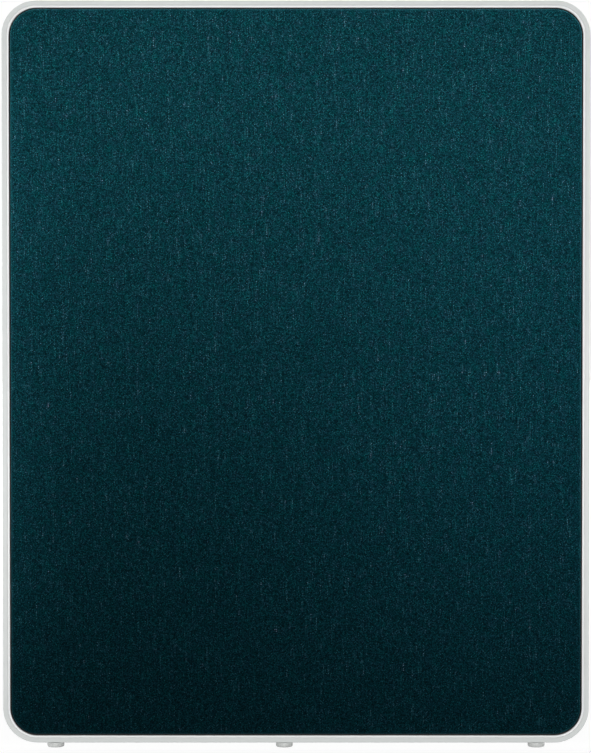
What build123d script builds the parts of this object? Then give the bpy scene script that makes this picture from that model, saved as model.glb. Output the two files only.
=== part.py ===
from build123d import *
import os

# A floor-standing partition screen. Millimetres, +Z up, the front faces -Y.
# The origin is on the floor, under the middle of the screen.

os.makedirs("parts", exist_ok=True)

# Outline of the frame
screen_width = 1100.0
frame_height = 1390.0
frame_depth = 40.0
corner_radius = 65.0

# Hollow profile of the frame
profile_face = 9.0
profile_wall = 1.8
profile_web = 1.2
outer_edge_radius = 1.2
inner_edge_radius = 0.4
seam_from_end = 147.0
seam_gap = 0.3

# Bead pressed into the frame's inner edge, front and rear
bead_face = 4.0
bead_depth = 6.7
bead_recess = 0.8
bead_nose_radius = 1.5
bead_slot_from_face = 5.5
bead_slot_width = 2.2
bead_leg_width = 1.8
bead_barb_width = 3.0
bead_barb_thickness = 0.6
bead_barb_gap = 0.3
bead_butt_gap = 0.2

# Splice keys inside the profile, one across each seam
key_length = 100.0
key_clearance = 0.2
grub_diameter = 4.0
grub_from_seam = 30.0
grub_below_wall = 0.5
grub_socket_across = 2.0
grub_socket_depth = 2.0

# Upholstered panels, front and rear
shadow_gap = 2.5
face_recess = 1.4
cover_thickness = 1.0
cover_edge_radius = 5.0
cover_return = 14.5
padding_thickness = 4.6
backer_thickness = 3.0

# Softwood subframe and the slabs in its bays
batten_width = 36.0
batten_clearance = 0.3
dowel_diameter = 8.0
dowel_length = 40.0
dowel_chamfer = 1.0
dowel_from_inner_edge = 10.0
cross_dowel_spacing = 20.0
batten_screw_diameter = 4.0
batten_screw_head_diameter = 8.0
batten_screw_socket_across = 2.5
batten_screw_socket_depth = 2.0
batten_screw_tip = 1.2
side_screw_shares = (-0.3, -0.1, 0.1, 0.3)
rail_screw_shares = (-0.25, 0.25)

# Press studs between battens and panels
stud_diameter = 6.0
stud_flange_diameter = 11.0
stud_flange_margin = 0.5
stud_shank_length = 7.5
stud_boss_length = 2.5
stud_tip_chamfer = 1.0
side_stud_shares = (-0.4, -0.2, 0.0, 0.2, 0.4)
rail_stud_shares = (-0.32, 0.0, 0.32)

# Levelling feet
side_foot_from_edge = 97.0
middle_foot_offset = -22.0
sole_diameter = 29.5
sole_thickness = 1.6
sole_seat_depth = 1.0
pad_diameter = 31.5
pad_thickness = 1.7
pad_edge_radius = 0.4
tongue_diameter = 24.0
tongue_width = 2.0
tongue_height = 2.5
wheel_diameter = 32.0
wheel_thickness = 6.3
wheel_edge_radius = 0.5
wheel_boss_diameter = 16.0
wheel_boss_height = 1.0
wheel_gap = 0.1
stop_gap = 0.3
stem_diameter = 8.0
stem_head_diameter = 13.0
stem_head_thickness = 1.6
stem_head_from_base = 1.2
stem_chamfer = 1.0
foot_travel = 15.0
thread_above_plate = 2.0
plate_length = 56.0
plate_screw_diameter = 4.0
plate_screw_head_diameter = 7.0
plate_screw_socket_across = 2.5
plate_screw_socket_depth = 1.5
plate_screw_from_foot = 20.0
plate_screw_tip = 0.6

# Fits
running_clearance = 0.08
thread_clearance = 0.05
press_clearance = 0.03
hole_clearance = 0.5
overrun = 2.0

# Heights of the feet, which carry the frame
pad_base = sole_thickness - sole_seat_depth
pad_top = pad_base + pad_thickness
wheel_base = pad_top + wheel_gap
wheel_top = wheel_base + wheel_thickness
boss_top = wheel_top + wheel_boss_height
frame_base = boss_top + stop_gap
frame_top = frame_base + frame_height
frame_centre = frame_base + frame_height / 2
lower_seam = frame_base + seam_from_end
upper_seam = frame_top - seam_from_end

# Insets, measured inwards from the outer edge of the frame
chamber_outer = profile_wall
chamber_inner = profile_face - profile_wall
bead_inner = profile_face + bead_face
barb_inner = chamber_inner - bead_barb_gap
barb_outer = barb_inner - bead_barb_thickness
cover_outer = bead_inner + shadow_gap
cover_inner = cover_outer + cover_thickness
cover_window = cover_outer + cover_return
batten_outer = profile_face + batten_clearance
batten_inner = batten_outer + batten_width
core_outer = batten_inner + batten_clearance
key_outer = chamber_outer + key_clearance
key_inner = chamber_inner - key_clearance
stud_inset = cover_window + stud_flange_margin + stud_flange_diameter / 2
dowel_inset = batten_inner - dowel_from_inner_edge
batten_screw_end = chamber_inner - batten_screw_tip
grub_head = profile_face - grub_below_wall

# Depths, measured from the middle plane of the frame
chamber_depth = frame_depth - 2 * profile_wall
slot_centre = frame_depth / 2 - bead_slot_from_face
bead_front = frame_depth / 2 - bead_recess
cover_face = frame_depth / 2 - face_recess
padding_face = cover_face - cover_thickness
backer_face = padding_face - padding_thickness
backer_back = backer_face - backer_thickness
cover_back = backer_back - cover_thickness
batten_thickness = 2 * cover_back
core_thickness = 2 * backer_back
web_outer = slot_centre - bead_barb_width / 2 - bead_barb_gap
web_inner = web_outer - profile_web
side_chamber_width = chamber_depth / 2 - web_outer
side_chamber_centre = web_outer + side_chamber_width / 2
key_width = 2 * (web_inner - key_clearance)

# Feet along the bottom rail, named by where they show
side_foot_x = screen_width / 2 - side_foot_from_edge
foot_places = {"left": -side_foot_x, "middle": middle_foot_offset, "right": side_foot_x}
tongue_inner_diameter = tongue_diameter - 2 * tongue_width
stem_base = wheel_base + stem_head_from_base
stem_top = frame_base + key_inner + foot_travel + thread_above_plate


def inset_width(inset):
    """Width of the outline that lies this far inside the frame's outer edge."""
    return screen_width - 2 * inset


def inset_height(inset):
    """Height of the outline that lies this far inside the frame's outer edge."""
    return frame_height - 2 * inset


def outline(inset, mode=Mode.ADD):
    """The rounded outline that lies this far inside the frame's outer edge."""
    return RectangleRounded(inset_width(inset), inset_height(inset), corner_radius - inset, mode=mode)


def facing_plane(facing, depth):
    """An upright plane that looks to the front (1) or the rear (-1), this far from the middle plane."""
    return Plane(
        origin=(0, -facing * depth, frame_centre), x_dir=(facing, 0, 0), z_dir=(0, -facing, 0)
    )


def side_planes(inset, heights):
    """Planes on both sides that look outwards, this far inside the outer edge, at these heights."""
    reach = inset_width(inset) / 2
    return [
        Plane(origin=(side * reach, 0, height), x_dir=(0, 0, 1), z_dir=(side, 0, 0))
        for side in (-1, 1)
        for height in heights
    ]


def rail_planes(inset, places):
    """Planes at bottom and top that look outwards, this far inside the outer edge, at these X."""
    low = frame_base + inset
    high = frame_top - inset
    return [Plane(origin=(x, 0, low), z_dir=(0, 0, -1)) for x in places] + [
        Plane(origin=(x, 0, high), z_dir=(0, 0, 1)) for x in places
    ]


def foot_planes(height, step=0.0):
    """Level planes that look up at this height, this far along from each foot's axis."""
    return [Plane(origin=(x + step, 0, height), z_dir=(0, 0, 1)) for x in foot_places.values()]


def save(part, name):
    """Label a finished piece and write it."""
    part.label = name
    export_step(part, f"parts/{name}.step")


# Places of the fasteners
seam_heights = (lower_seam, upper_seam)
grub_heights = [z + step for z in seam_heights for step in (-grub_from_seam, grub_from_seam)]
grub_planes = side_planes(grub_head, grub_heights)
side_screw_heights = [frame_centre + share * frame_height for share in side_screw_shares]
rail_screw_places = [share * screen_width for share in rail_screw_shares]
batten_screw_planes = side_planes(batten_inner, side_screw_heights)
batten_screw_planes += rail_planes(batten_inner, rail_screw_places)
batten_screw_length = batten_inner - batten_screw_end
batten_screw_head_depth = (batten_screw_head_diameter - batten_screw_diameter) / 2
corner_dowel_x = inset_width(dowel_inset) / 2
cross_dowel_step = cross_dowel_spacing / 2
cross_dowel_heights = (frame_centre - cross_dowel_step, frame_centre + cross_dowel_step)
dowel_planes = rail_planes(batten_inner, (-corner_dowel_x, corner_dowel_x))
dowel_planes += side_planes(batten_inner, cross_dowel_heights)
stud_points = [
    (side * inset_width(stud_inset) / 2, share * frame_height)
    for side in (-1, 1)
    for share in side_stud_shares
]
stud_points += [
    (share * screen_width, side * inset_height(stud_inset) / 2)
    for side in (-1, 1)
    for share in rail_stud_shares
]
plate_screw_planes = foot_planes(frame_base, -plate_screw_from_foot)
plate_screw_planes += foot_planes(frame_base, plate_screw_from_foot)
plate_screw_length = key_inner - plate_screw_tip
plate_screw_head_depth = (plate_screw_head_diameter - plate_screw_diameter) / 2

# Bores for the grub screws, through the profile's inner wall and the keys
with BuildPart() as grub_bores:
    with BuildSketch(*side_planes(profile_face + overrun, grub_heights)):
        Circle(grub_diameter / 2 + thread_clearance)
    extrude(amount=profile_face + overrun - chamber_outer)

# Countersunk bores for the batten screws, through the battens and the profile's inner wall
with BuildPart() as batten_screw_bores:
    with BuildSketch(*batten_screw_planes):
        Circle(batten_screw_diameter / 2 + thread_clearance)
    extrude(amount=batten_screw_length)
    with BuildSketch(*batten_screw_planes):
        Circle(batten_screw_head_diameter / 2 + thread_clearance)
    extrude(amount=batten_screw_head_depth, taper=45)

# Bores for the dowels, half in each of two battens
with BuildPart() as dowel_bores:
    with BuildSketch(*dowel_planes):
        Circle(dowel_diameter / 2 + press_clearance)
    extrude(amount=dowel_length / 2 + hole_clearance, both=True)

# Bores for the press studs, from both backers into the battens
with BuildPart() as stud_bores:
    with BuildSketch(facing_plane(1, backer_face), facing_plane(-1, backer_face)):
        with Locations(*stud_points):
            Circle(stud_diameter / 2 + press_clearance)
    extrude(amount=cover_back - stud_shank_length - hole_clearance - backer_face)

# Bores for the stems: clear through the profile's walls and deep into the bottom batten
with BuildPart() as stem_bores:
    with BuildSketch(*foot_planes(frame_base - overrun)):
        Circle(stem_diameter / 2 + hole_clearance)
    extrude(amount=stem_top + hole_clearance - frame_base + overrun)

# Countersunk bores for the screws that hold the nut plates
with BuildPart() as plate_screw_bores:
    with BuildSketch(*plate_screw_planes):
        Circle(plate_screw_diameter / 2 + thread_clearance)
    extrude(amount=plate_screw_length)
    with BuildSketch(*plate_screw_planes):
        Circle(plate_screw_head_diameter / 2 + thread_clearance)
    extrude(amount=plate_screw_head_depth, taper=45)

# The whole ring of profile, from which the two bows and the two stiles are cut
with BuildPart() as frame_ring:
    with BuildSketch(facing_plane(1, 0)):
        outline(0)
        outline(profile_face, mode=Mode.SUBTRACT)
    extrude(amount=frame_depth / 2, both=True)
    for end in (0, -1):
        flat = frame_ring.faces().filter_by(Axis.Y).sort_by(Axis.Y)[end]
        fillet(flat.outer_wire().edges(), outer_edge_radius)
        flat = frame_ring.faces().filter_by(Axis.Y).sort_by(Axis.Y)[end]
        fillet(flat.inner_wires().edges(), inner_edge_radius)
    with BuildSketch(facing_plane(1, 0)):
        outline(chamber_outer)
        outline(chamber_inner, mode=Mode.SUBTRACT)
    extrude(amount=web_inner, both=True, mode=Mode.SUBTRACT)
    with BuildSketch(facing_plane(1, side_chamber_centre), facing_plane(-1, side_chamber_centre)):
        outline(chamber_outer)
        outline(chamber_inner, mode=Mode.SUBTRACT)
    extrude(amount=side_chamber_width / 2, both=True, mode=Mode.SUBTRACT)
    with BuildSketch(facing_plane(1, slot_centre), facing_plane(-1, slot_centre)):
        outline(barb_inner)
        outline(profile_face + overrun, mode=Mode.SUBTRACT)
    extrude(amount=bead_slot_width / 2, both=True, mode=Mode.SUBTRACT)
    for bores in (grub_bores, batten_screw_bores, stem_bores, plate_screw_bores):
        add(bores.part, mode=Mode.SUBTRACT)

# The bows run round both corners and end at the seams
with BuildPart() as top_bow:
    add(frame_ring.part)
    split(bisect_by=Plane.XY.offset(upper_seam + seam_gap / 2), keep=Keep.TOP)
save(top_bow.part, "top_bow")

with BuildPart() as bottom_bow:
    add(frame_ring.part)
    split(bisect_by=Plane.XY.offset(lower_seam - seam_gap / 2), keep=Keep.BOTTOM)
save(bottom_bow.part, "bottom_bow")

# The stiles are the straight lengths between the seams
for name, kept_side in (("left_stile", Keep.BOTTOM), ("right_stile", Keep.TOP)):
    with BuildPart() as stile:
        add(frame_ring.part)
        split(bisect_by=Plane.XY.offset(upper_seam - seam_gap / 2), keep=Keep.BOTTOM)
        split(bisect_by=Plane.XY.offset(lower_seam + seam_gap / 2), keep=Keep.TOP)
        split(bisect_by=Plane.YZ, keep=kept_side)
    save(stile.part, name)

# Splice keys: flat bars that fill the chamber across each seam
with BuildPart() as splice_keys:
    with BuildSketch(*side_planes(key_inner, seam_heights)):
        Rectangle(key_length, key_width)
    extrude(amount=key_inner - key_outer)
    add(grub_bores.part, mode=Mode.SUBTRACT)
save(splice_keys.part, "splice_keys")

with BuildPart() as splice_screws:
    with BuildSketch(*grub_planes):
        Circle(grub_diameter / 2)
    extrude(amount=grub_head - chamber_outer)
    with BuildSketch(*grub_planes):
        RegularPolygon(grub_socket_across / 2, 6, major_radius=False)
    extrude(amount=grub_socket_depth, mode=Mode.SUBTRACT)
save(splice_screws.part, "splice_screws")

# Beads: a rounded nose beside the frame's face, a leg through the slot and a barb behind it
for name, facing in (("front_bead", 1), ("rear_bead", -1)):
    with BuildPart() as bead:
        with BuildSketch(facing_plane(facing, bead_front)):
            outline(profile_face)
            outline(bead_inner, mode=Mode.SUBTRACT)
        extrude(amount=-bead_depth)
        noses = bead.faces().filter_by(Axis.Y).sort_by(Axis.Y, reverse=facing < 0)
        fillet(noses[0].edges(), bead_nose_radius)
        with BuildSketch(facing_plane(facing, slot_centre)):
            outline(barb_outer)
            outline(profile_face + bead_face / 2, mode=Mode.SUBTRACT)
        extrude(amount=bead_leg_width / 2, both=True)
        with BuildSketch(facing_plane(facing, slot_centre)):
            outline(barb_outer)
            outline(barb_inner, mode=Mode.SUBTRACT)
        extrude(amount=bead_barb_width / 2, both=True)
        with BuildSketch(facing_plane(facing, 0)):
            with Locations((0, -inset_height(bead_inner) / 2)):
                Rectangle(bead_butt_gap, 2 * bead_inner)
        extrude(amount=frame_depth, mode=Mode.SUBTRACT)
    save(bead.part, name)

# The top and bottom battens run across the full width and follow the frame's corners
for name, side, align in (("top_batten", 1, Align.MIN), ("bottom_batten", -1, Align.MAX)):
    with BuildPart() as rail_batten:
        with BuildSketch(facing_plane(1, 0)):
            outline(batten_outer)
            with Locations((0, side * inset_height(batten_inner) / 2)):
                Rectangle(
                    screen_width, batten_width, align=(Align.CENTER, align), mode=Mode.INTERSECT
                )
        extrude(amount=batten_thickness / 2, both=True)
        for bores in (batten_screw_bores, dowel_bores, stud_bores, stem_bores):
            add(bores.part, mode=Mode.SUBTRACT)
    save(rail_batten.part, name)

# The side battens stand between them
for name, side, align in (("left_batten", -1, Align.MAX), ("right_batten", 1, Align.MIN)):
    with BuildPart() as side_batten:
        with BuildSketch(facing_plane(1, 0)):
            outline(batten_outer)
            with Locations((side * inset_width(batten_inner) / 2, 0)):
                Rectangle(
                    batten_width,
                    inset_height(batten_inner),
                    align=(align, Align.CENTER),
                    mode=Mode.INTERSECT,
                )
        extrude(amount=batten_thickness / 2, both=True)
        for bores in (batten_screw_bores, dowel_bores, stud_bores):
            add(bores.part, mode=Mode.SUBTRACT)
    save(side_batten.part, name)

# The cross batten joins the side battens at half height
with BuildPart() as cross_batten:
    with BuildSketch(facing_plane(1, 0)):
        Rectangle(inset_width(batten_inner), batten_width)
    extrude(amount=batten_thickness / 2, both=True)
    add(dowel_bores.part, mode=Mode.SUBTRACT)
save(cross_batten.part, "cross_batten")

with BuildPart() as batten_dowels:
    with BuildSketch(*dowel_planes):
        Circle(dowel_diameter / 2)
    extrude(amount=dowel_length / 2, both=True)
    chamfer(batten_dowels.edges().filter_by(GeomType.CIRCLE), dowel_chamfer)
save(batten_dowels.part, "batten_dowels")

with BuildPart() as batten_screws:
    with BuildSketch(*batten_screw_planes):
        Circle(batten_screw_diameter / 2)
    extrude(amount=batten_screw_length)
    with BuildSketch(*batten_screw_planes):
        Circle(batten_screw_head_diameter / 2)
    extrude(amount=batten_screw_head_depth, taper=45)
    with BuildSketch(*batten_screw_planes):
        RegularPolygon(batten_screw_socket_across / 2, 6, major_radius=False)
    extrude(amount=batten_screw_socket_depth, mode=Mode.SUBTRACT)
save(batten_screws.part, "batten_screws")

# Sound-absorbing slabs fill the bays above and below the cross batten
core_height = (inset_height(core_outer) - batten_width - 2 * batten_clearance) / 2
core_centre = (batten_width + core_height) / 2 + batten_clearance
for name, side in (("upper_core", 1), ("lower_core", -1)):
    with BuildPart() as core:
        with BuildSketch(facing_plane(1, 0)):
            with Locations((0, side * core_centre)):
                Rectangle(inset_width(core_outer), core_height)
        extrude(amount=core_thickness / 2, both=True)
    save(core.part, name)

# Panels: a backer and its padding, wrapped in a cover that is turned in behind them
for name, facing in (("front", 1), ("rear", -1)):
    with BuildPart() as filling:
        with BuildSketch(facing_plane(facing, backer_back)):
            outline(cover_inner)
        extrude(amount=padding_face - backer_back)
        fronts = filling.faces().filter_by(Axis.Y).sort_by(Axis.Y, reverse=facing < 0)
        fillet(fronts[0].edges(), cover_edge_radius - cover_thickness)

    with BuildPart() as backer:
        add(filling.part)
        split(bisect_by=facing_plane(facing, backer_face), keep=Keep.BOTTOM)
        add(stud_bores.part, mode=Mode.SUBTRACT)
    save(backer.part, f"{name}_backer")

    with BuildPart() as padding:
        add(filling.part)
        split(bisect_by=facing_plane(facing, backer_face), keep=Keep.TOP)
    save(padding.part, f"{name}_padding")

    with BuildPart() as cover:
        with BuildSketch(facing_plane(facing, cover_back)):
            outline(cover_outer)
        extrude(amount=cover_face - cover_back)
        fronts = cover.faces().filter_by(Axis.Y).sort_by(Axis.Y, reverse=facing < 0)
        fillet(fronts[0].edges(), cover_edge_radius)
        add(filling.part, mode=Mode.SUBTRACT)
        with BuildSketch(facing_plane(facing, cover_back - overrun)):
            outline(cover_window)
        extrude(amount=cover_thickness + overrun, mode=Mode.SUBTRACT)
    save(cover.part, f"{name}_cover")

    with BuildPart() as studs:
        with BuildSketch(facing_plane(facing, cover_back)):
            with Locations(*stud_points):
                Circle(stud_flange_diameter / 2)
        extrude(amount=cover_thickness)
        with BuildSketch(facing_plane(facing, backer_back + stud_boss_length)):
            with Locations(*stud_points):
                Circle(stud_diameter / 2)
        extrude(amount=cover_back - stud_shank_length - backer_back - stud_boss_length)
        rims = studs.edges().filter_by(GeomType.CIRCLE).sort_by(Axis.Y, reverse=facing > 0)
        chamfer(rims[: len(stud_points)], stud_tip_chamfer)
    save(studs.part, f"{name}_studs")

# Each foot: a rubber sole, a pad that stays still, and a hand wheel moulded onto a threaded stem
for place, foot_x in foot_places.items():
    with BuildPart() as sole:
        with BuildSketch(Plane.XY):
            with Locations((foot_x, 0)):
                Circle(sole_diameter / 2)
        extrude(amount=sole_thickness)
    save(sole.part, f"{place}_foot_sole")

    with BuildPart() as pad:
        with BuildSketch(Plane.XY.offset(pad_base)):
            with Locations((foot_x, 0)):
                Circle(pad_diameter / 2)
        extrude(amount=pad_thickness)
        fillet(pad.edges(), pad_edge_radius)
        with BuildSketch(Plane.XY.offset(pad_base)):
            with Locations((foot_x, 0)):
                Circle(sole_diameter / 2 + press_clearance)
        extrude(amount=sole_seat_depth, mode=Mode.SUBTRACT)
        with BuildSketch(Plane.XY.offset(pad_top)):
            with Locations((foot_x, 0)):
                Circle(tongue_diameter / 2)
                Circle(tongue_inner_diameter / 2, mode=Mode.SUBTRACT)
        extrude(amount=tongue_height)
    save(pad.part, f"{place}_foot_pad")

    with BuildPart() as stem:
        with BuildSketch(Plane.XY.offset(stem_base)):
            with Locations((foot_x, 0)):
                Circle(stem_head_diameter / 2)
        extrude(amount=stem_head_thickness)
        with BuildSketch(Plane.XY.offset(stem_base)):
            with Locations((foot_x, 0)):
                Circle(stem_diameter / 2)
        extrude(amount=stem_top - stem_base)
        chamfer(stem.edges().sort_by(Axis.Z)[-1], stem_chamfer)
    save(stem.part, f"{place}_foot_stem")

    with BuildPart() as wheel:
        with BuildSketch(Plane.XY.offset(wheel_base)):
            with Locations((foot_x, 0)):
                Circle(wheel_diameter / 2)
        extrude(amount=wheel_thickness)
        fillet(wheel.edges().filter_by(GeomType.CIRCLE), wheel_edge_radius)
        with BuildSketch(Plane.XY.offset(wheel_top)):
            with Locations((foot_x, 0)):
                Circle(wheel_boss_diameter / 2)
        extrude(amount=wheel_boss_height)
        with BuildSketch(Plane.XY.offset(pad_top)):
            with Locations((foot_x, 0)):
                Circle(tongue_diameter / 2 + running_clearance)
                Circle(tongue_inner_diameter / 2 - running_clearance, mode=Mode.SUBTRACT)
        extrude(amount=tongue_height + wheel_gap, mode=Mode.SUBTRACT)
        with BuildSketch(Plane.XY.offset(stem_base)):
            with Locations((foot_x, 0)):
                Circle(stem_head_diameter / 2 + press_clearance)
        extrude(amount=stem_head_thickness, mode=Mode.SUBTRACT)
        with BuildSketch(Plane.XY.offset(stem_base)):
            with Locations((foot_x, 0)):
                Circle(stem_diameter / 2 + press_clearance)
        extrude(amount=boss_top - stem_base, mode=Mode.SUBTRACT)
    save(wheel.part, f"{place}_foot_wheel")

# Threaded plates inside the bottom profile, one above each foot
with BuildPart() as nut_plates:
    with BuildSketch(*foot_planes(frame_base + key_outer)):
        Rectangle(plate_length, key_width)
        Circle(stem_diameter / 2 + thread_clearance, mode=Mode.SUBTRACT)
    extrude(amount=key_inner - key_outer)
    add(plate_screw_bores.part, mode=Mode.SUBTRACT)
save(nut_plates.part, "nut_plates")

with BuildPart() as plate_screws:
    with BuildSketch(*plate_screw_planes):
        Circle(plate_screw_diameter / 2)
    extrude(amount=plate_screw_length)
    with BuildSketch(*plate_screw_planes):
        Circle(plate_screw_head_diameter / 2)
    extrude(amount=plate_screw_head_depth, taper=45)
    with BuildSketch(*plate_screw_planes):
        RegularPolygon(plate_screw_socket_across / 2, 6, major_radius=False)
    extrude(amount=plate_screw_socket_depth, mode=Mode.SUBTRACT)
save(plate_screws.part, "plate_screws")
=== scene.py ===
"""Dresses the partition screen: cloth, lacquer, bead, feet and studio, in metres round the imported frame."""

import logging
import math
from collections.abc import Mapping, Sequence
from dataclasses import dataclass, replace
from enum import Enum
from itertools import combinations
from typing import Union

import bmesh
import bpy
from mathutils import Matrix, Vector


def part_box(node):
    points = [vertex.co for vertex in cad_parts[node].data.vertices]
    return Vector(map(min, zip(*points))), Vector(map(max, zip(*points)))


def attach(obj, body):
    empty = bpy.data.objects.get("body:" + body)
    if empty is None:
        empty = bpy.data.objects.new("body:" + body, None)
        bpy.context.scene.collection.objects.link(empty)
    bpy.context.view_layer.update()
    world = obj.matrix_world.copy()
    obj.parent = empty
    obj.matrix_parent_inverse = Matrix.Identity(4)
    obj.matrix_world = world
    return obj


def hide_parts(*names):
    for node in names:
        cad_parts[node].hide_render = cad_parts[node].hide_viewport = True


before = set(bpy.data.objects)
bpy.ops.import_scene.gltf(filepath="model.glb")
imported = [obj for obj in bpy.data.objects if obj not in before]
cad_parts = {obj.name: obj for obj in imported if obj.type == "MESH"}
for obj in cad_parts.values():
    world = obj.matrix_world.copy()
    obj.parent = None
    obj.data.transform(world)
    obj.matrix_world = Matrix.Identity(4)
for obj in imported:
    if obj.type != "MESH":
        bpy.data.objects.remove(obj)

LOG = logging.getLogger("partition_screen")
MM = 0.001
FULL_TURN = 2 * math.pi
MERGE = 1e-6
SNAP = 1e-7
CLOTH_UV = "cloth_flat"

Point = tuple[float, float, float]
Colour = tuple[float, float, float]
Number = Union[float, "Wire"]

EVEN: Point = (1, 1, 1)
WHITE = (1.0, 1.0, 1.0, 1.0)


class Grain(Enum):
    """The way that a batten's fibres run."""

    ALONG_X = (0.05, 1.0, 1.0)
    ALONG_Z = (1.0, 1.0, 0.05)


class Side(Enum):
    """The two faces of the screen, with the sign of the way that each looks along Y."""

    FRONT = -1
    REAR = 1


class Wire:
    """A shader socket that can be used in sums."""

    def __init__(self, kit: "ShaderKit", socket: bpy.types.NodeSocket | None) -> None:
        """Args:
            socket: The output that this wire carries on, or None behind a last node.
        """
        self.kit = kit
        self.socket = socket

    def __add__(self, other: Number) -> "Wire":
        """This plus other."""
        return self.kit.maths("ADD", self, other)

    __radd__ = __add__

    def __sub__(self, other: Number) -> "Wire":
        """This minus other."""
        return self.kit.maths("SUBTRACT", self, other)

    def __rsub__(self, other: Number) -> "Wire":
        """Other minus this."""
        return self.kit.maths("SUBTRACT", other, self)

    def __mul__(self, other: Number) -> "Wire":
        """This times other."""
        return self.kit.maths("MULTIPLY", self, other)

    __rmul__ = __mul__

    def __truediv__(self, other: Number) -> "Wire":
        """This over other."""
        return self.kit.maths("DIVIDE", self, other)

    def __pow__(self, other: Number) -> "Wire":
        """This to the power of other."""
        return self.kit.maths("POWER", self, other)

    def __mod__(self, other: Number) -> "Wire":
        """What is left of this after whole lots of other, never below zero."""
        return self.kit.maths("FLOORED_MODULO", self, other)

    def __abs__(self) -> "Wire":
        """This without its sign."""
        return self.kit.maths("ABSOLUTE", self)

    def __gt__(self, other: Number) -> "Wire":
        """One where this is above other, and zero elsewhere."""
        return self.kit.maths("GREATER_THAN", self, other)

    def floor(self) -> "Wire":
        """The whole number below this."""
        return self.kit.maths("FLOOR", self)

    def sine(self) -> "Wire":
        """The sine of this, in radians."""
        return self.kit.maths("SINE", self)

    def swing(self) -> "Wire":
        """How far this, which runs from 0 to 1, lies from its middle."""
        return self - 0.5

    def beside(self, output: str | int) -> "Wire":
        """Another output of the node that this one comes from."""
        return Wire(self.kit, self.socket.node.outputs[output])


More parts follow.
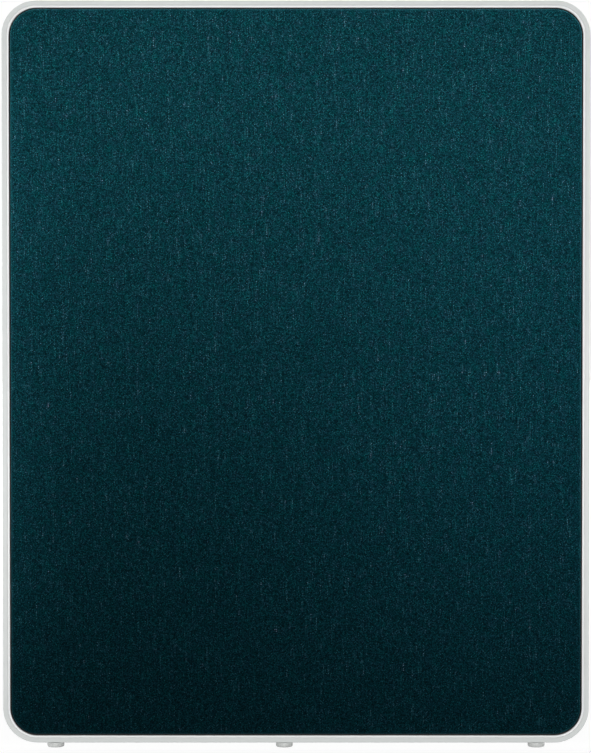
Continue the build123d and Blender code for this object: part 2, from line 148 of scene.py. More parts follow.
class ShaderKit:
    """Makes the nodes of one material or world."""

    def __init__(self, owner: bpy.types.Material | bpy.types.World) -> None:
        """Start with an empty node tree.

        Args:
            owner: The new material or world.
        """
        self.owner = owner
        owner.use_nodes = True
        self.tree = owner.node_tree
        self.tree.nodes.clear()

    def node(
        self,
        kind: str,
        settings: Mapping[str, object] | None = None,
        sockets: Mapping[str | int, object] | None = None,
        output: str | int = 0,
    ) -> Wire:
        """Add a node, set it and join it up.

        Args:
            kind: The node's type.
            settings: Its properties, which are set first.
            sockets: Values or wires for its inputs, by identifier, name or number.
            output: The output that is carried on, if the node has any.

        Returns:
            The wire of that output.
        """
        node = self.tree.nodes.new(kind)
        for key, value in (settings or {}).items():
            setattr(node, key, value)
        for key, value in (sockets or {}).items():
            target = self._find(node.inputs, key)
            if isinstance(value, Wire):
                self.tree.links.new(value.socket, target)
            else:
                target.default_value = value
        return Wire(self, self._find(node.outputs, output) if len(node.outputs) else None)

    @staticmethod
    def _find(sockets: Sequence[bpy.types.NodeSocket], key: str | int) -> bpy.types.NodeSocket:
        """Find one of a node's inputs or outputs.

        Args:
            sockets: The inputs or the outputs.
            key: The socket's identifier, name or number.

        Returns:
            The socket.
        """
        for socket in sockets:
            if socket.identifier == key:
                return socket
        return sockets[key]

    def maths(self, operation: str, *terms: Number) -> Wire:
        """Add a Math node.

        Args:
            operation: What it does.
            terms: Its values or wires, in order.

        Returns:
            Its result.
        """
        return self.node("ShaderNodeMath", {"operation": operation}, dict(enumerate(terms)))

    def place(self) -> Wire:
        """The point on the object, in metres."""
        return self.node("ShaderNodeTexCoord", output="Object")

    def stretched(self, place: Wire, scale: Sequence[float]) -> Wire:
        """A place with each of its axes scaled.

        Args:
            place: The point.
            scale: The factor for each axis.

        Returns:
            The scaled point.
        """
        return self.node("ShaderNodeVectorMath", {"operation": "MULTIPLY"}, {0: place, 1: tuple(scale)})

    def noise(
        self, place: Wire, grain: float, detail: float = 2.0, roughness: float = 0.5, stretch: Point = EVEN
    ) -> Wire:
        """Smooth noise from 0 to 1.

        Args:
            place: Where it is read.
            grain: The width of its patches, in metres.
            detail: How many finer layers it has.
            roughness: How strong those layers are.
            stretch: The factor for each axis of the place, below 1 where patches are longer.

        Returns:
            The noise.
        """
        if stretch != EVEN:
            place = self.stretched(place, stretch)
        return self.node(
            "ShaderNodeTexNoise",
            {"noise_dimensions": "3D"},
            {"Vector": place, "Scale": 1 / grain, "Detail": detail, "Roughness": roughness},
        )

    def chance(self, *places: Wire) -> Wire:
        """A random number from 0 to 1 for each set of whole numbers.

        Args:
            places: One, two or three wires of whole numbers.

        Returns:
            The number.
        """
        joined = self.node("ShaderNodeCombineXYZ", sockets=dict(enumerate(places)))
        return self.node("ShaderNodeTexWhiteNoise", {"noise_dimensions": "3D"}, {"Vector": joined})

    def parts(self, place: Wire) -> tuple[Wire, Wire]:
        """The first two coordinates of a point.

        Args:
            place: The point.

        Returns:
            Its X and its Y.
        """
        first = self.node("ShaderNodeSeparateXYZ", sockets={0: place})
        return first, first.beside(1)

    def blend(self, factor: Number, first: Colour | Wire, second: Colour | Wire) -> Wire:
        """A colour between two others.

        Args:
            factor: 0 for the first and 1 for the second.
            first: The first colour.
            second: The second colour.

        Returns:
            The mixed colour.
        """
        ends = {"A_Color": first, "B_Color": second}
        ends = {key: end if isinstance(end, Wire) else (*end, 1.0) for key, end in ends.items()}
        return self.node(
            "ShaderNodeMix",
            {"data_type": "RGBA", "clamp_factor": True},
            {"Factor_Float": factor, **ends},
            output="Result_Color",
        )

    def toned(self, colour: Colour | Wire, tone: Wire) -> Wire:
        """A colour made lighter or darker.

        Args:
            colour: The colour.
            tone: The factor.

        Returns:
            The scaled colour.
        """
        return self.node(
            "ShaderNodeVectorMath", {"operation": "SCALE"}, {"Vector": colour, "Scale": tone}
        )

    def relief(self, height: Wire, depth: float) -> Wire:
        """A normal bent by a height field.

        Args:
            height: The field, from 0 to 1.
            depth: What 1 stands for, in metres.

        Returns:
            The normal.
        """
        return self.node("ShaderNodeBump", sockets={"Strength": 1.0, "Distance": depth, "Height": height})

    def surface(self, **sockets: object) -> bpy.types.Material:
        """Finish the material with one surface shader.

        Args:
            sockets: Its inputs, by name with _ for a space.

        Returns:
            The material.
        """
        named = {key.replace("_", " "): value for key, value in sockets.items()}
        shader = self.node("ShaderNodeBsdfPrincipled", sockets=named)
        return self.output(shader)

    def output(self, shader: Wire) -> bpy.types.Material:
        """Join a shader to the material's output.

        Args:
            shader: The shader.

        Returns:
            The material.
        """
        self.node("ShaderNodeOutputMaterial", sockets={"Surface": shader})
        return self.owner


@dataclass(frozen=True)
class Finish:
    """A finish that is made once and shared by the pieces that have it."""

    name: str

    def material(self) -> bpy.types.Material:
        """The finish as a material, made at its first use."""
        made = bpy.data.materials.get(self.name)
        return made or self.make(ShaderKit(bpy.data.materials.new(self.name)))

    def make(self, kit: ShaderKit) -> bpy.types.Material:
        """Build the nodes.


        Returns:
            The material.
        """
        raise NotImplementedError


@dataclass(frozen=True)
class Lacquer(Finish):
    """Satin lacquer sprayed on the metal profile, with a faint orange peel."""

    colour: Colour
    tone: float = 0.985
    cloud_tone: float = 0.03
    cloud_grain: float = 90 * MM
    roughness: float = 0.3
    rub_roughness: float = 0.12
    rub_grain: float = 15 * MM
    rub_stretch: Point = (1, 1, 0.2)
    peel_grain: float = 1.4 * MM
    peel_depth: float = 0.012 * MM
    specular: float = 0.4

    def make(self, kit: ShaderKit) -> bpy.types.Material:
        """Build the nodes.


        Returns:
            The material.
        """
        place = kit.place()
        cloud = kit.noise(place, self.cloud_grain, detail=3)
        peel = kit.noise(place, self.peel_grain, detail=1)
        rub = kit.noise(place, self.rub_grain, detail=4, stretch=self.rub_stretch)
        return kit.surface(
            Base_Color=kit.toned(self.colour, self.tone + self.cloud_tone * cloud),
            Roughness=self.roughness + self.rub_roughness * rub,
            Specular_IOR_Level=self.specular,
            Normal=kit.relief(peel, self.peel_depth),
        )


@dataclass(frozen=True)
class Grained(Finish):
    """A finish whose tone, roughness and relief follow a fine grain, with broad clouds over it.

    The shares of the grain and the clouds are added to the tone and the roughness.
    """

    colour: Colour
    grain: float
    depth: float
    stretch: Point = EVEN
    detail: float = 2
    fineness: float = 0.5
    cloud: float = 20 * MM
    cloud_stretch: Point = EVEN
    cloud_detail: float = 2
    tone: float = 1.0
    grain_tone: float = 0.0
    cloud_tone: float = 0.0
    roughness: float = 0.5
    grain_roughness: float = 0.0
    cloud_roughness: float = 0.0
    specular: float = 0.4
    metallic: float = 0.0

    def make(self, kit: ShaderKit) -> bpy.types.Material:
        """Build the nodes.


        Returns:
            The material.
        """
        place = kit.place()
        grain = self._grain(kit, place)
        cloud = self._cloud(kit, place) if self.cloud_tone or self.cloud_roughness else 0.0
        tone = self._sum(self.tone, (self.grain_tone, grain), (self.cloud_tone, cloud))
        return kit.surface(
            Base_Color=kit.toned(self.colour, tone),
            Metallic=self.metallic,
            Roughness=self._sum(
                self.roughness, (self.grain_roughness, grain), (self.cloud_roughness, cloud)
            ),
            Specular_IOR_Level=self.specular,
            Normal=kit.relief(grain, self.depth),
        )

    @staticmethod
    def _sum(base: float, *shares: tuple[float, Number]) -> Number:
        """Add shares of some patterns to a number.

        Args:
            base: The number.
            shares: Each pattern with its share, which may be 0.

        Returns:
            The sum, which stays a plain number if no pattern has a share in it.
        """
        total = base
        for share, pattern in shares:
            if share:
                total = total + share * pattern
        return total

    def _grain(self, kit: ShaderKit, place: Wire) -> Wire:
        """The fine pattern, from 0 to 1."""
        return kit.noise(place, self.grain, self.detail, self.fineness, self.stretch)

    def _cloud(self, kit: ShaderKit, place: Wire) -> Wire:
        """The broad pattern, from 0 to 1."""
        return kit.noise(place, self.cloud, self.cloud_detail, stretch=self.cloud_stretch)


@dataclass(frozen=True)
class Plastic(Grained):
    """Moulded or extruded plastic with a fine spark texture."""

    grain: float = 0.35 * MM
    depth: float = 0.01 * MM
    cloud: float = 21 * MM
    tone: float = 0.985
    cloud_tone: float = 0.03
    grain_roughness: float = 0.1


@dataclass(frozen=True)
class BasketCloth(Finish):
    """Basket weave of mottled upright warp over darker weft, with slubs, streaks and light flecks, and
    painted shade in the hollows between yarns and along their plies.
    """

    green_warp: Colour
    blue_warp: Colour
    weft: Colour
    block: float = 1.5 * MM
    yarns_per_block: int = 2
    yarn_height: float = 0.3 * MM
    drift: float = 1.3 * MM
    drift_grain: float = 38 * MM
    mottle_grain: float = 17 * MM
    slub_length: float = 20 * MM
    streak_width: float = 4.5 * MM
    streak_length: float = 260 * MM
    fleck_run: int = 14
    fleck_rarity: float = 16.0
    fleck_share: float = 1.4
    lone_fleck_share: float = 0.6
    slub_share: float = 0.4
    streak_share: float = 0.3
    stray_floor: float = 0.25
    stray_share: float = 1.4
    float_round: float = 0.6
    float_end: float = 0.5
    # Painted shade between yarns: the colour's factor at the bottom of the hollows, and the share of yarn
    # height that lifts it.
    painted_hollow_shade_floor: float = 0.4
    painted_hollow_shade_share: float = 1.0
    twist_pitch: float = 0.5 * MM
    painted_twist_shade_share: float = 0.22
    mottle_middle: float = 0.5
    mottle_share: float = 2.0
    weft_floor: float = 0.8
    weft_share: float = 0.2
    sway_grain: float = 49.4 * MM
    clean_haze: Colour = (0.0001, 0.0, 0.0)
    hairy_haze: Colour = (0.0023, 0.0005, 0.0006)
    haze_power: float = 3.0
    roughness: float = 0.98
    height_gloss: float = 0.12
    specular: float = 0.03
    sheen: float = 0.5
    sheen_roughness: float = 0.4
    sheen_tint: Colour = (0.1, 0.6, 0.72)

    def make(self, kit: ShaderKit) -> bpy.types.Material:
        """Build the nodes.


        Returns:
            The material.
        """
        flat = kit.node("ShaderNodeUVMap", {"uv_map": CLOTH_UV})
        u, v = self._drifted(kit, flat)
        column, row = u.floor(), v.floor()
        warp_up = (column + row) % 2
        height = self._height(u, v, warp_up)
        stray = kit.chance(column, row)
        slub = kit.noise(flat, self.block, detail=1, stretch=(1, self.block / self.slub_length, 1))
        lengthwise = (1, self.streak_width / self.streak_length, 1)
        streak = kit.noise(flat, self.streak_width, stretch=lengthwise)
        run = ((v + self.fleck_run * kit.chance(column, column)) / self.fleck_run).floor()
        lone_fleck = self.lone_fleck_share * stray ** self.fleck_rarity
        fleck = kit.chance(column, run) ** self.fleck_rarity + lone_fleck
        warp_tone = 1 + self.slub_share * slub.swing() + self.fleck_share * fleck
        weft_tone = self.weft_floor + self.weft_share * kit.chance(row, row)
        tone = warp_tone * warp_up + weft_tone * (1 - warp_up)
        spread = self.stray_floor + self.stray_share * stray + self.streak_share * streak.swing()
        # Painted shade along the ply grooves, as slanting lighter and darker lines on each yarn.
        painted_ply_shade = 1 + self.painted_twist_shade_share * self._painted_twist_shade(u, v, warp_up)
        # The yarns' random tone times painted shade: darker in the hollows between raised yarns and along the
        # ply grooves.
        tone_and_painted_shade = tone * spread * painted_ply_shade * (self.painted_hollow_shade_floor + self.painted_hollow_shade_share * height)
        patches = kit.noise(flat, self.mottle_grain, detail=3)
        mottle = self.mottle_middle + self.mottle_share * patches.swing()
        yarn = kit.blend(warp_up, self.weft, kit.blend(mottle, self.green_warp, self.blue_warp))
        haze = kit.toned(kit.blend(mottle, self.clean_haze, self.hairy_haze), tone_and_painted_shade ** self.haze_power)
        return kit.surface(
            Base_Color=kit.node(
                "ShaderNodeVectorMath", {"operation": "ADD"}, {0: kit.toned(yarn, tone_and_painted_shade), 1: haze}
            ),
            Roughness=self.roughness - self.height_gloss * height,
            Specular_IOR_Level=self.specular,
            Sheen_Weight=self.sheen,
            Sheen_Roughness=self.sheen_roughness,
            Sheen_Tint=(*self.sheen_tint, 1.0),
            Normal=kit.relief(height, self.yarn_height),
        )

    def _drifted(self, kit: ShaderKit, flat: Wire) -> tuple[Wire, Wire]:
        """Count the blocks across and up, with yarns that wander a little as in real cloth.

        Args:
            kit: The material's kit.
            flat: The place on the flat cloth.

        Returns:
            The counts across and up, as running numbers.
        """
        across, up = kit.parts(flat)
        wander = kit.noise(flat, self.drift_grain)
        sway = kit.noise(flat, self.sway_grain, stretch=(1, -1, 1))
        u = (across + wander.swing() * self.drift) / self.block
        v = (up + sway.swing() * self.drift) / self.block
        return u, v

    def _height(self, u: Wire, v: Wire, warp_up: Wire) -> Wire:
        """Work out how high the yarns stand: two round ones in each block, low at its ends.

        Args:
            u: The count of blocks across.
            v: The count of blocks up.
            warp_up: 1 where the warp lies on top.

        Returns:
            The height from 0 to 1.
        """
        turn = math.pi * self.yarns_per_block
        warp = abs((u * turn).sine()) ** self.float_round * abs((v * math.pi).sine()) ** self.float_end
        weft = abs((v * turn).sine()) ** self.float_round * abs((u * math.pi).sine()) ** self.float_end
        return warp * warp_up + weft * (1 - warp_up)

    def _painted_twist_shade(self, u: Wire, v: Wire, warp_up: Wire) -> Wire:
        """Work out the slanting lines of painted shade that the grooves of the twisted plies draw on each
        yarn.

        Args:
            u: The count of blocks across.
            v: The count of blocks up.
            warp_up: 1 where the warp lies on top.

        Returns:
            A wave from -1 to 1.
        """
        along, across = FULL_TURN * self.block / self.twist_pitch, FULL_TURN * self.yarns_per_block
        warp = (v * along + u * across).sine()
        weft = (u * along + v * across).sine()
        return warp * warp_up + weft * (1 - warp_up)


@dataclass(frozen=True)
class OpenFoam(Grained):
    """Open-cell upholstery foam."""

    grain: float = 0.9 * MM
    depth: float = 0.3 * MM
    cloud: float = 36 * MM
    cloud_detail: float = 3
    tone: float = 0.7
    # The cells' share of the tone is painted shade, darker in each pore's hollow middle.
    grain_tone: float = 0.25
    cloud_tone: float = 0.1
    roughness: float = 0.95
    specular: float = 0.1

    def _grain(self, kit: ShaderKit, place: Wire) -> Wire:
        """The cells, dark in their middles, which paints shade into each pore's hollow."""
        sockets = {"Vector": place, "Scale": 1 / self.grain}
        return kit.node("ShaderNodeTexVoronoi", {"feature": "F1"}, sockets)


@dataclass(frozen=True)
class PressedFelt(Grained):
    """Grey sound-absorbing felt of short mixed fibres, some of them light."""

    grain: float = 1.2 * MM
    depth: float = 0.4 * MM
    stretch: Point = (1, 1, 0.3)
    detail: float = 4
    fineness: float = 0.7
    cloud: float = 2.4 * MM
    cloud_stretch: Point = (0.3, 1, 1)
    cloud_detail: float = 3
    tone: float = 0.5
    grain_tone: float = 0.7
    cloud_tone: float = 0.4
    roughness: float = 0.97
    specular: float = 0.1
    speck_limit: float = 0.62

    def _cloud(self, kit: ShaderKit, place: Wire) -> Wire:
        """The light fibres: 1 on them and 0 elsewhere."""
        return super()._cloud(kit, place) > self.speck_limit


@dataclass(frozen=True)
class PressedBoard(Grained):
    """Brown pressed fibre board."""

    grain: float = 1.6 * MM
    depth: float = 0.08 * MM
    detail: float = 4
    fineness: float = 0.65
    cloud: float = 48 * MM
    tone: float = 0.475
    grain_tone: float = 0.6
    cloud_tone: float = 0.25
    roughness: float = 0.6
    grain_roughness: float = 0.2
    specular: float = 0.3


@dataclass(frozen=True)
class ZincSteel(Grained):
    """Zinc-plated steel with fine brushed lines and a dull bloom."""

    grain: float = 0.25 * MM
    depth: float = 0.00625 * MM
    stretch: Point = (0.15, 0.15, 1)
    cloud: float = 6 * MM
    cloud_detail: float = 3
    tone: float = 0.88
    cloud_tone: float = 0.18
    roughness: float = 0.24
    cloud_roughness: float = 0.22
    specular: float = 0.5
    metallic: float = 1.0


@dataclass(frozen=True)
class SoleRubber(Grained):
    """Dark rubber with dust in its pores."""

    grain: float = 0.5 * MM
    depth: float = 0.5 * MM / 15
    detail: float = 3
    fineness: float = 0.6
    tone: float = 0.8
    grain_tone: float = 0.5
    roughness: float = 0.78
    grain_roughness: float = 0.12
    specular: float = 0.25


@dataclass(frozen=True)
class SawnWood(Finish):
    """Sawn softwood or dowel wood with growth rings and fine fibres."""

    early_colour: Colour
    late_colour: Colour
    grain: Grain
    ring: float = 3.2 * MM
    rings_per_bend: float = 12
    rings_of_sway: float = 8
    fibres_per_ring: float = 6
    fineness: float = 0.6
    late_power: float = 3
    tone: float = 0.8
    fibre_tone: float = 0.4
    roughness: float = 0.62
    fibre_roughness: float = 0.2
    late_gloss: float = 0.12
    late_relief: float = 0.4
    depth: float = 0.12 * MM
    specular: float = 0.3

    def make(self, kit: ShaderKit) -> bpy.types.Material:
        """Build the nodes.


        Returns:
            The material.
        """
        along = kit.stretched(kit.place(), self.grain.value)
        bend = kit.noise(along, self.rings_per_bend * self.ring)
        depth = kit.parts(along)[1]
        turn = (depth + bend * self.rings_of_sway * self.ring) * (FULL_TURN / self.ring)
        fibres = kit.noise(along, self.ring / self.fibres_per_ring, 3, self.fineness)
        late = ((1 + turn.sine()) / 2) ** self.late_power
        colour = kit.blend(late, self.early_colour, self.late_colour)
        return kit.surface(
            Base_Color=kit.toned(colour, self.tone + self.fibre_tone * fibres),
            Roughness=self.roughness + self.fibre_roughness * fibres - self.late_gloss * late,
            Specular_IOR_Level=self.specular,
            Normal=kit.relief(fibres + self.late_relief * late, self.depth),
        )


FRAME_LACQUER = Lacquer("frame_lacquer", (0.64, 0.66, 0.65))
BEAD_PLASTIC = Plastic("bead_plastic", (0.91, 0.92, 0.915), roughness=0.35)
STUD_PLASTIC = Plastic("stud_plastic", (0.8, 0.8, 0.77), roughness=0.45)
FOOT_PLASTIC = Plastic(
    "foot_plastic", (0.66, 0.675, 0.665), grain=0.5 * MM, cloud=30 * MM, roughness=0.4
)
PETROL_CLOTH = BasketCloth(
    "petrol_cloth", (0.0004, 0.055, 0.063), (0.0006, 0.048, 0.072), (0.0003, 0.013, 0.0195)
)
FOAM = OpenFoam("padding_foam", (0.78, 0.75, 0.66))
FELT = PressedFelt("core_felt", (0.27, 0.27, 0.28))
BOARD = PressedBoard("backer_board", (0.36, 0.23, 0.13))
# Near-black stain on the battens, so dark that it also paints the shade at the bottom of the gap round the
# covers.
GAP_SHADE_BLACK_STAIN = ((0.008, 0.008, 0.0085), (0.004, 0.004, 0.0045))
RAIL_WOOD = SawnWood("gap_shade_stained_rail_wood", *GAP_SHADE_BLACK_STAIN, Grain.ALONG_X)
POST_WOOD = SawnWood("gap_shade_stained_post_wood", *GAP_SHADE_BLACK_STAIN, Grain.ALONG_Z)
DOWEL_WOOD = SawnWood("dowel_wood", (0.6, 0.44, 0.27), (0.46, 0.3, 0.16), Grain.ALONG_Z)
ZINC = ZincSteel("zinc_steel", (0.62, 0.63, 0.64))
RUBBER = SoleRubber("sole_rubber", (0.055, 0.055, 0.056))


def dress(names: Sequence[str], finish: Finish) -> None:
    """Give CAD nodes their finish.

    Args:
        names: The nodes.
        finish: Their finish.
    """
    for name in names:
        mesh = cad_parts[name].data
        mesh.materials.clear()
        mesh.materials.append(finish.material())
        LOG.info("dressed %s with %s", name, finish.name)


def edges_at(bm: bmesh.types.BMesh, radius: float, height: float) -> list[bmesh.types.BMEdge]:
    """Find the round edges of a lathed shape.

    Args:
        bm: The shape, turned about Z through the origin.
        radius: How far the edges lie from the axis.
        height: How high they lie.

    Returns:
        The edges.
    """
    return [
        edge
        for edge in bm.edges
        if all(
            abs(vert.co.xy.length - radius) < MERGE and abs(vert.co.z - height) < MERGE
            for vert in edge.verts
        )
    ]


def lathe(
    section: Sequence[tuple[float, float]],
    steps: int,
    turns: int = 1,
    rise: float = 0.0,
    closed: bool = True,
) -> bmesh.types.BMesh:
    """Turn a section about Z, in a ring or up a helix.

    Args:
        section: Radius and height of each point, from the lower end round to the upper.
        steps: How many steps a turn has.
        turns: How many turns there are.
        rise: How far each turn climbs, which is nothing in a ring.
        closed: Whether the ends of the section meet the axis.

    Returns:
        The turned shape.
    """
    bm = bmesh.new()
    verts = [bm.verts.new((radius, 0, height)) for radius, height in section]
    edges = [bm.edges.new(pair) for pair in zip(verts, verts[1:])]
    bmesh.ops.spin(
        bm,
        geom=verts + edges,
        cent=(0, 0, 0),
        axis=(0, 0, 1),
        dvec=(0, 0, rise / steps),
        angle=turns * FULL_TURN,
        steps=turns * steps,
        use_merge=not rise,
        use_duplicate=False,
    )
    bmesh.ops.remove_doubles(bm, verts=bm.verts, dist=MERGE)
    if closed:
        bmesh.ops.recalc_face_normals(bm, faces=bm.faces)
    return bm


def soften(
    bm: bmesh.types.BMesh,
    geom: Sequence[bmesh.types.BMEdge] | Sequence[bmesh.types.BMVert],
    width: float,
    segments: int = 3,
    affect: str = "EDGES",
) -> None:
    """Round some edges or corners.

    Args:
        bm: The shape.
        geom: The edges or corners.
        width: The size of the rounding.
        segments: How many steps it has.
        affect: EDGES or VERTICES.
    """
    bmesh.ops.bevel(
        bm,
        geom=list(geom),
        offset=width,
        offset_type="OFFSET",
        segments=segments,
        profile=0.5,
        affect=affect,
        material=-1,
        clamp_overlap=True,
    )


def cut_through(
    bm: bmesh.types.BMesh, place: Sequence[float], normal: Sequence[float], clear_outer: bool = False
) -> None:
    """Cut a shape along a plane.

    Args:
        bm: The shape.
        place: A point on the plane.
        normal: The way that the plane faces.
        clear_outer: Whether the side that it faces goes away.
    """
    bmesh.ops.bisect_plane(
        bm,
        geom=bm.verts[:] + bm.edges[:] + bm.faces[:],
        dist=SNAP,
        plane_co=place,
        plane_no=normal,
        clear_outer=clear_outer,
    )


@dataclass
class Piece:
    """One new piece of the screen, from its mesh to its place among the bodies."""

    name: str
    finish: Finish
    body: str
    slot: str
    stands_for: str
    crease: float = math.radians(38)

    def place(self, bm: bmesh.types.BMesh, centre: Vector = Vector()) -> bpy.types.Object:
        """Make the piece from a finished shape.

        Args:
            bm: The shape, which is used up.
            centre: Where its origin goes in the frame.

        Returns:
            The piece.
        """
        bmesh.ops.translate(bm, vec=centre, verts=bm.verts)
        mesh = bpy.data.meshes.new(self.name)
        bm.to_mesh(mesh)
        bm.free()
        mesh.shade_smooth()
        mesh.set_sharp_from_angle(angle=self.crease)
        mesh.materials.append(self.finish.material())
        made = bpy.data.objects.new(self.name, mesh)
        bpy.context.scene.collection.objects.link(made)
        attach(made, self.body)
        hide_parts(self.stands_for)
        LOG.info("made %s: %d faces, on %s", self.name, len(mesh.polygons), self.body)
        return made


@dataclass
class Profile:
    """The lacquered ring with its beads, splices and fasteners."""

    bows: tuple[str, ...] = ("top_bow", "bottom_bow")
    stiles: tuple[str, ...] = ("left_stile", "right_stile")
    beads: tuple[str, ...] = ("front_bead", "rear_bead")
    steel: tuple[str, ...] = ("splice_keys", "splice_screws", "nut_plates", "plate_screws")
    corner_radius: float = 65 * MM
    halvings: int = 2
    longest_step: float = 12 * MM
    near: float = 2e-6
    flat_angle: float = math.radians(1)
    skew_angle: float = math.radians(60)

    def __post_init__(self) -> None:
        """Read the ring's outline from the frame."""
        low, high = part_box("bottom_bow")[0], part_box("top_bow")[1]
        self.middle = (low + high) / 2
        self.straight = (high - low).xz / 2 - Vector((self.corner_radius,) * 2)

    def build(self) -> None:
        """Finish the ring's pieces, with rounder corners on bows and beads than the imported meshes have."""
        dress(self.stiles, FRAME_LACQUER)
        dress(self.steel, ZINC)
        for node in self.bows:
            self._rounded(Piece(f"{node}_metal", FRAME_LACQUER, "frame", "frame_finish", node))
        for node in self.beads:
            self._rounded(Piece(f"{node}_strip", BEAD_PLASTIC, "frame", "bead_plastic", node))

    def _rounded(self, piece: Piece) -> None:
        """Copy a CAD node that goes round corners, with the chords there halved until they look round.

        Args:
            piece: The piece to make of it.
        """
        bm = bmesh.new()
        bm.from_mesh(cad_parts[piece.stands_for].data)
        bmesh.ops.remove_doubles(bm, verts=bm.verts, dist=MERGE)
        bmesh.ops.join_triangles(
            bm,
            faces=bm.faces,
            angle_face_threshold=self.flat_angle,
            angle_shape_threshold=self.skew_angle,
        )
        for _ in range(self.halvings):
            self._halve_chords(bm)
        made = piece.place(bm)
        flats = made.modifiers.new("true_flats", "WEIGHTED_NORMAL")
        flats.keep_sharp = True

    def _outward(self, place: Vector) -> Vector:
        """How far a point lies beyond the straights, across and up, which is its way out in a corner."""
        away = (place - self.middle).xz
        return Vector((abs(away.x), abs(away.y))) - self.straight

    def _is_chord(self, edge: bmesh.types.BMEdge) -> bool:
        """Tell whether an edge is one step of a corner's curve.

        Args:
            edge: The edge.

        Returns:
            Whether both of its ends lie in a corner, equally far out, a step apart.
        """
        first, second = (vert.co for vert in edge.verts)
        start, end = self._outward(first), self._outward(second)
        in_corner = min(*start, *end) > -self.near
        level = abs(start.length - end.length) < self.near
        return in_corner and level and self.near < (first - second).xz.length < self.longest_step

    def _halve_chords(self, bm: bmesh.types.BMesh) -> None:
        """Cut each chord in its middle and move the middle out onto the curve.

        Args:
            bm: The shape.
        """
        chords = [edge for edge in bm.edges if self._is_chord(edge)]
        cut = bmesh.ops.subdivide_edges(bm, edges=chords, cuts=1, use_grid_fill=True)
        moves = []
        for vert in cut["geom_inner"]:
            if not isinstance(vert, bmesh.types.BMVert):
                continue
            ends = [edge.other_vert(vert) for edge in vert.link_edges]
            for first, second in combinations(ends, 2):
                if ((first.co + second.co) / 2 - vert.co).length < self.near:
                    short = self._outward(vert.co)
                    away = short * (self._outward(first.co).length / short.length) - short
                    moves.append((vert, away))
                    break
        for vert, away in moves:
            vert.co.x += math.copysign(away.x, vert.co.x - self.middle.x)
            vert.co.z += math.copysign(away.y, vert.co.z - self.middle.z)
        LOG.info("halved %d chords", len(moves))


@dataclass
class Slab:
    """A soft flat layer with eased edges."""

    node: str
    finish: Finish
    slot: str
    edge: float = 1.2 * MM
    inset: float = 0.2 * MM
    corner_steps: int = 20
    sharp: float = math.radians(60)

    def build(self, corner_radius: float = 0.0) -> bpy.types.Object:
        """Make the layer in the space of its CAD solid.

        Args:
            corner_radius: The radius of its upright corners, or 0.

        Returns:
            The piece.
        """
        low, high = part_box(self.node)
        size, centre = high - low, (low + high) / 2
        bm = bmesh.new()
        bmesh.ops.create_cube(bm, size=1.0)
        shrunk = size - Vector((2 * self.inset,) * 3)
        bmesh.ops.scale(bm, vec=shrunk, verts=bm.verts)
        if corner_radius:
            corners = [edge for edge in bm.edges if self._runs_along_y(edge)]
            soften(bm, corners, corner_radius, self.corner_steps)
        rims = [edge for edge in bm.edges if edge.calc_face_angle(0.0) > self.sharp]
        soften(bm, rims, self.edge)
        bmesh.ops.recalc_face_normals(bm, faces=bm.faces)
        piece = Piece(f"{self.node}_sheet", self.finish, "frame", self.slot, self.node)
        made = piece.place(bm, centre)
        return made

    @staticmethod
    def _runs_along_y(edge: bmesh.types.BMEdge) -> bool:
        """Whether an edge runs through the layer's thickness."""
        first, second = edge.verts
        return (first.co - second.co).xz.length < SNAP


@dataclass
class Subframe:
    """Battens, dowels, screws and the two felt slabs between the panels."""

    rails: tuple[str, ...] = ("top_batten", "bottom_batten", "cross_batten")
    posts: tuple[str, ...] = ("left_batten", "right_batten")
    slabs: tuple[str, ...] = ("upper_core", "lower_core")

    def build(self) -> None:
        """Finish the battens and make the slabs."""
        dress(self.rails, RAIL_WOOD)
        dress(self.posts, POST_WOOD)
        dress(("batten_dowels",), DOWEL_WOOD)
        dress(("batten_screws",), ZINC)
        for node in self.slabs:
            Slab(node, FELT, "core_felt").build()


